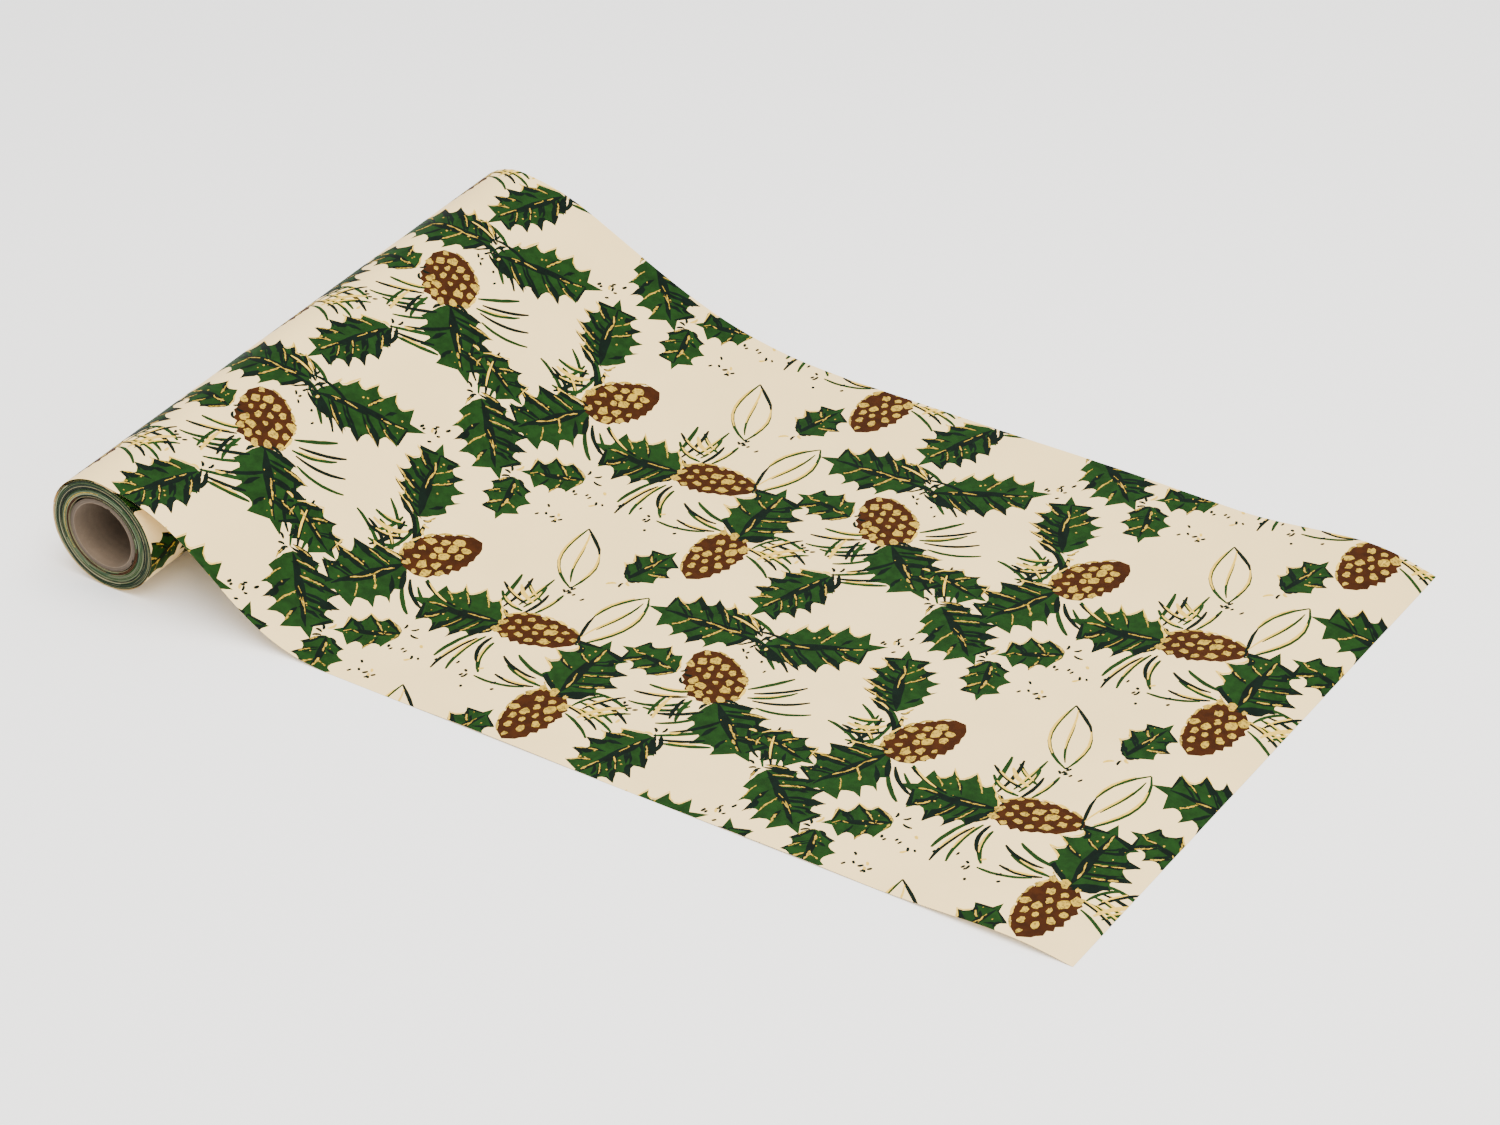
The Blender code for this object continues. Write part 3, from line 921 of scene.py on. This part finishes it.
class WRAP_OT_core(bpy.types.Operator):
    """Build the spiral-wound cardboard core and give the strip that holds the paper's tail a film
    finish
    """
    bl_idname = "wrap_roll.core"
    bl_label = "Core"

    PLY_STEPS = 84                       # facets per turn of a ply
    PLY_BEVEL = 0.00012
    PLY_TAPER = 0.002                    # width left where a ply is cut off at the ends
    WALL_STEPS = 120
    WALL_BEVEL = 0.00015
    LINER_GAP = 0.0001                   # clearance between the liner and the wall
    COVER_GAP = 0.0002                   # clearance under the cover ply

    def ply(self, name, inner, outer, settings, phase, finish):
        """Strip wound in a helix along the core and trimmed flush at both ends."""
        strip = settings.ply_pitch - settings.seam
        count = int((WEB_WIDTH + strip - 2.0 * self.PLY_TAPER) / settings.ply_pitch
                    * self.PLY_STEPS)
        points = []
        for i in range(count + 1):
            angle = phase + math.tau * i / self.PLY_STEPS
            advance = (-HALF - strip + self.PLY_TAPER
                       + settings.ply_pitch * i / self.PLY_STEPS)
            low, high = max(-HALF, advance), min(HALF, advance + strip)
            points += [on_roll(radius, angle, y) for radius, y in
                       bevelled(inner, outer, low, high, self.PLY_BEVEL)]
        return add_piece(name, points, tube_faces(count + 1, 8), finish)

    def wall(self, inner, outer, finish):
        points = []
        for i in range(self.WALL_STEPS):
            angle = math.tau * i / self.WALL_STEPS
            points += [on_roll(radius, angle, y) for radius, y in
                       bevelled(inner, outer, -HALF, HALF, self.WALL_BEVEL)]
        return add_piece("core_wall", points, tube_faces(self.WALL_STEPS, 8, closed=True),
                         finish)

    def execute(self, context):
        settings = context.scene.wrap_roll
        tint = tuple(settings.board)
        board = board_finish("core_board", tint, 55.0)
        liner_outer = settings.bore + settings.ply
        cover_inner = WALL_OUTER + self.COVER_GAP
        liner = self.ply("core_liner", settings.bore, liner_outer, settings, 0.4, board)
        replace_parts(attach(liner, "roll"), "core_liner_ply")
        dark_board = board_finish("core_wall_board", shaded(tint, 0.52), 90.0)
        wall = self.wall(liner_outer + self.LINER_GAP, WALL_OUTER, dark_board)
        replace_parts(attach(wall, "roll"), "core_body_plies")
        cover = self.ply("core_cover", cover_inner, cover_inner + settings.ply, settings, 2.1,
                         board_finish("cover_board", shaded(tint, 0.60), 40.0))
        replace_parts(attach(cover, "roll"), "core_cover_ply")
        film = paper_finish("tape_film", (0.62, 0.56, 0.42), 0.34)
        for place in frame["nodes"]["tail_tape"].material_slots:
            place.material = film
        return {"FINISHED"}


class WRAP_OT_wound_turns(bpy.types.Operator):
    """Build the paper that is still on the roll, with the colours along its cut edges"""
    bl_idname = "wrap_roll.wound_turns"
    bl_label = "Wound turns"

    STEPS = 96                           # facets per turn of the spiral
    CORE_GAP = 0.0015                    # from the core's wall to the first turn
    OUTER_GAP = 0.0004                   # from the last turn to the loose outer turn
    EDGE_PROUD = 0.00002
    EDGE_SEED = 5
    CUT_EDGE = (0.155, 0.172, 0.085)
    BROWN_ARCS = ((50, 82), (142, 180), (24, 40), (118, 140))     # (first, last) step

    def spiral(self, inner, outer, count, rng):
        """Inner and outer radius, angle and end of a thick spiral, for each step."""
        pitch = (outer - inner) / count
        stick_out = [rng.uniform(-0.0006, 0.0002) for _ in range(count + 2)]
        rows = []
        for i in range(int((count - 0.12) * self.STEPS)):
            turns = i / self.STEPS
            whole = int(turns)
            sway = 0.10 * math.sin(1.7 * turns * math.tau) + 0.16 * math.sin(0.076 * i + 1.0)
            low = inner + pitch * (turns + 0.35 * sway * min(1.0, count - 1.0 - turns))
            part = float(smooth_step(turns - whole))
            stick = stick_out[whole] * (1.0 - part) + stick_out[whole + 1] * part
            thick = min(pitch * (0.84 + 0.07 * math.sin(0.61 * i / 9.0)), outer - low)
            rows.append((low, low + thick, LIFT_ANGLE + math.tau * turns, HALF + stick))
        return rows

    def body(self, rows):
        points = []
        for low, high, angle, end in rows:
            points += [on_roll(low, angle, -end), on_roll(low, angle, end),
                       on_roll(high, angle, end), on_roll(high, angle, -end)]
        return points, tube_faces(len(rows), 4)

    def edge_strip(self, rows, first, last, inner, outer, proud, points, faces):
        """One strip on the cut edges at both ends, from one step to another."""
        for side in (-1, 1):
            start = len(points)
            for low, high, angle, end in rows[first:last + 1]:
                for share in (inner, outer):
                    points.append(on_roll(low + (high - low) * share, angle,
                                          side * (end + proud)))
            for k in range(last - first):
                a = start + 2 * k
                quad = (a, a + 2, a + 3, a + 1)
                faces.append(quad if side < 0 else quad[::-1])

    def edge_runs(self, rows, rng):
        """Runs of ink that show on the cut edges, where printed parts were cut through, and a ring
        of painted shade along the last turn.
        """
        runs = {ink: ([], []) for ink in INKS if ink != "pale_gold"}
        last = len(rows) - 1
        i = 0
        while i < last:
            stop = min(i + rng.randrange(9, 90), last)
            near_core = i < 2.4 * self.STEPS
            ink = rng.choices((None, "green", "navy", "gold", "brown"),
                              (30, 34, 30, 3, 50 if near_core else 1))[0]
            if ink and stop - i > 2:
                self.edge_strip(rows, i, stop, rng.uniform(0.0, 0.35), rng.uniform(0.75, 1.0),
                                2.0 * INK_LIFT[ink] * MM, *runs[ink])
            i = stop
        for first, stop in self.BROWN_ARCS:
            self.edge_strip(rows, first, stop, 0.10, 1.0, 3.2 * INK_LIFT["brown"] * MM,
                            *runs["brown"])
        # Painted shade: a navy ring over the outer part of the last turn darkens the rim of both
        # ends, where the shadow line runs round the roll's edge.
        self.edge_strip(rows, last - self.STEPS, last, 0.30, 1.0,
                        2.2 * INK_LIFT["navy"] * MM, *runs["navy"])
        return runs

    def execute(self, context):
        scene = context.scene
        rng = random.Random(self.EDGE_SEED)
        shape = WebShape(scene.wrap_web)
        paper = tuple(scene.wrap_web.paper)
        inks = ink_finishes(scene.wrap_print)
        # Painted shade: the outer turn's paper is the web's paper made 3% darker, for the side of
        # the roll that lies in shade.
        stock = paper_finish("shaded_wound_paper_stock", shaded(paper, 0.97))
        inner = WALL_OUTER + self.CORE_GAP
        outer = float(turn_radius(OUTER_TURNS * math.tau)) - self.OUTER_GAP
        rows = self.spiral(inner, outer, scene.wrap_roll.bundles, rng)
        cut_edges = edge_finish("cut_edges", self.CUT_EDGE)
        wound = add_piece("wound_paper", *self.body(rows), cut_edges)
        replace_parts(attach(wound, "roll"), "wound_turns")
        points, faces = [], []
        self.edge_strip(rows, 0, len(rows) - 1, 0.0, 1.0, self.EDGE_PROUD, points, faces)
        edges = add_piece("wound_edges", points, faces, cut_edges, smooth=False)
        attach(edges, "roll")
        s_lines = turn_lines()
        y_lines = even(-HALF, HALF, 0.020)
        points, faces, normals = grid_sheet(shape, shape.turn, s_lines, y_lines)
        turn = add_piece("outer_turn", points, faces, stock, normals=normals)
        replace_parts(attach(turn, "roll"), "loose_outer_turns")
        for film in print_films("roll_print_", scene.wrap_print, inks, shape, shape.turn,
                                s_lines, y_lines):
            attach(film, "roll")
        for ink, run in self.edge_runs(rows, rng).items():
            strips = add_piece("edge_print_" + ink, *run, inks[ink], smooth=False)
            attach(strips, "roll")
        return {"FINISHED"}


class WRAP_OT_web(bpy.types.Operator):
    """Build the printed web, from the roll over the rise to the free end"""
    bl_idname = "wrap_roll.web"
    bl_label = "Printed web"

    BLEND_FROM = 0.02                    # from the roll's axis to the start of a stretch that is worked out but not used
    BLEND_TO = 0.62                      # and to its end

    def across_joint(self, piece):
        start = (AXIS_X + self.BLEND_FROM, 0.0, AXIS_Z + WEB_RADIUS)
        end = (AXIS_X + self.BLEND_TO, 0.0, AXIS_Z + WEB_RADIUS)
        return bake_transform(piece)

    def execute(self, context):
        scene = context.scene
        shape = WebShape(scene.wrap_web)
        s_lines, y_lines = web_lines(shape)
        stock = paper_finish("printed_paper_stock", tuple(scene.wrap_web.paper))
        points, faces, normals = grid_sheet(shape, shape.web, s_lines, y_lines)
        web = add_piece("paper_web", points, faces, stock, normals=normals)
        self.across_joint(web)
        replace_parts(web, "web_rise", "laid_sheet")
        shape.free_s - SEAM_S
        inks = ink_finishes(scene.wrap_print)
        for film in print_films("web_print_", scene.wrap_print, inks, shape, shape.web,
                                s_lines, y_lines):
            self.across_joint(film)
        return {"FINISHED"}


class WRAP_OT_stage(bpy.types.Operator):
    """Add the plain floor, the soft lights and the camera"""
    bl_idname = "wrap_roll.stage"
    bl_label = "Stage"

    FLOOR_REACH = 9.0
    FLOOR_DROP = 0.00005                 # keeps the floor clear of the paper's underside
    WORLD_STRENGTH = 1.28
    LAMPS = (("overhead", (0.3, -0.2, 2.2), (0.0, 0.0, 0.0), (2.4, 2.0), 118.0),
             ("right_fill", (1.9, -1.2, 1.3), (0.1, 0.0, 0.0), (1.4, 1.0), 16.0))
    TARGET = (AXIS_X + 0.3655, 0.0125, 0.0)

    def soft_light(self, name, place, target, size, power):
        light = bpy.data.lights.new(name, "AREA")
        light.shape = "RECTANGLE"
        light.size, light.size_y = size
        light.energy = power
        light.color = (1.0, 0.95, 0.87)
        lamp = bpy.data.objects.new(name, light)
        lamp.location = place
        aim = Vector(target) - Vector(place)
        lamp.rotation_euler = aim.to_track_quat("-Z", "Y").to_euler()
        bpy.context.scene.collection.objects.link(lamp)

    def execute(self, context):
        settings = context.scene.wrap_stage
        reach = self.FLOOR_REACH
        corners = [(-reach, -reach, 0.0), (reach, -reach, 0.0), (reach, reach, 0.0),
                   (-reach, reach, 0.0)]
        recipe = Recipe("studio_floor", 0.9)
        recipe.set(Base_Color=recipe.mix(recipe.noise(3.0), tuple(settings.floor),
                                         shaded(settings.floor, 1.01)))
        floor = add_piece("studio_floor", corners, [(0, 1, 2, 3)], recipe.material)
        floor.location.z = CAD_BOX[0][2] - self.FLOOR_DROP
        world = bpy.data.worlds.new("studio")
        world.use_nodes = True
        background = world.node_tree.nodes["Background"]
        background.inputs["Color"].default_value = (1, 1, 1, 1)
        background.inputs["Strength"].default_value = self.WORLD_STRENGTH
        context.scene.world = world
        for lamp in self.LAMPS:
            self.soft_light(*lamp)
        camera = bpy.data.cameras.new("camera")
        camera.lens = settings.lens
        camera.sensor_width = 36.0
        camera.clip_end = 60.0
        view = bpy.data.objects.new("camera", camera)
        context.scene.collection.objects.link(view)
        heading, tilt, roll = settings.heading, settings.tilt, settings.roll
        forward = Vector((-math.sin(heading) * math.cos(tilt),
                          math.cos(heading) * math.cos(tilt), -math.sin(tilt)))
        level = Vector((math.cos(heading), math.sin(heading), 0.0))
        upright = level.cross(forward)
        right = level * math.cos(roll) + upright * math.sin(roll)
        up = upright * math.cos(roll) - level * math.sin(roll)
        target = Vector(self.TARGET)
        axes = Matrix((right, up, -forward)).transposed().to_4x4()
        view.matrix_world = Matrix.Translation(target - forward * settings.distance) @ axes
        context.scene.camera = view
        return {"FINISHED"}


class WRAP_PT_panel(bpy.types.Panel):
    """Lists the settings and the build steps"""
    bl_idname = "WRAP_PT_panel"
    bl_label = "Gift Wrap Roll"
    bl_space_type = "VIEW_3D"
    bl_region_type = "UI"
    bl_category = "Gift Wrap"

    def draw(self, context):
        layout = self.layout
        for name in SETTINGS:
            group = getattr(context.scene, name)
            box = layout.box()
            for key in group.__annotations__:
                box.prop(group, key)
        for step in STEPS:
            layout.operator(step.bl_idname)


SETTINGS = {"wrap_web": WebSettings, "wrap_print": PrintSettings, "wrap_roll": RollSettings,
            "wrap_stage": StageSettings}
STEPS = (WRAP_OT_stage, WRAP_OT_core, WRAP_OT_wound_turns, WRAP_OT_web)
CLASSES = (*SETTINGS.values(), *STEPS, WRAP_PT_panel)


def register():
    for kind in CLASSES:
        bpy.utils.register_class(kind)
    for name, kind in SETTINGS.items():
        setattr(bpy.types.Scene, name, PointerProperty(type=kind))


def unregister():
    for name in SETTINGS:
        delattr(bpy.types.Scene, name)
    for kind in reversed(CLASSES):
        bpy.utils.unregister_class(kind)


def main():
    register()
    bpy.ops.wrap_roll.stage()
    bpy.ops.wrap_roll.core()
    bpy.ops.wrap_roll.wound_turns()
    bpy.ops.wrap_roll.web()


if __name__ == "__main__":
    main()
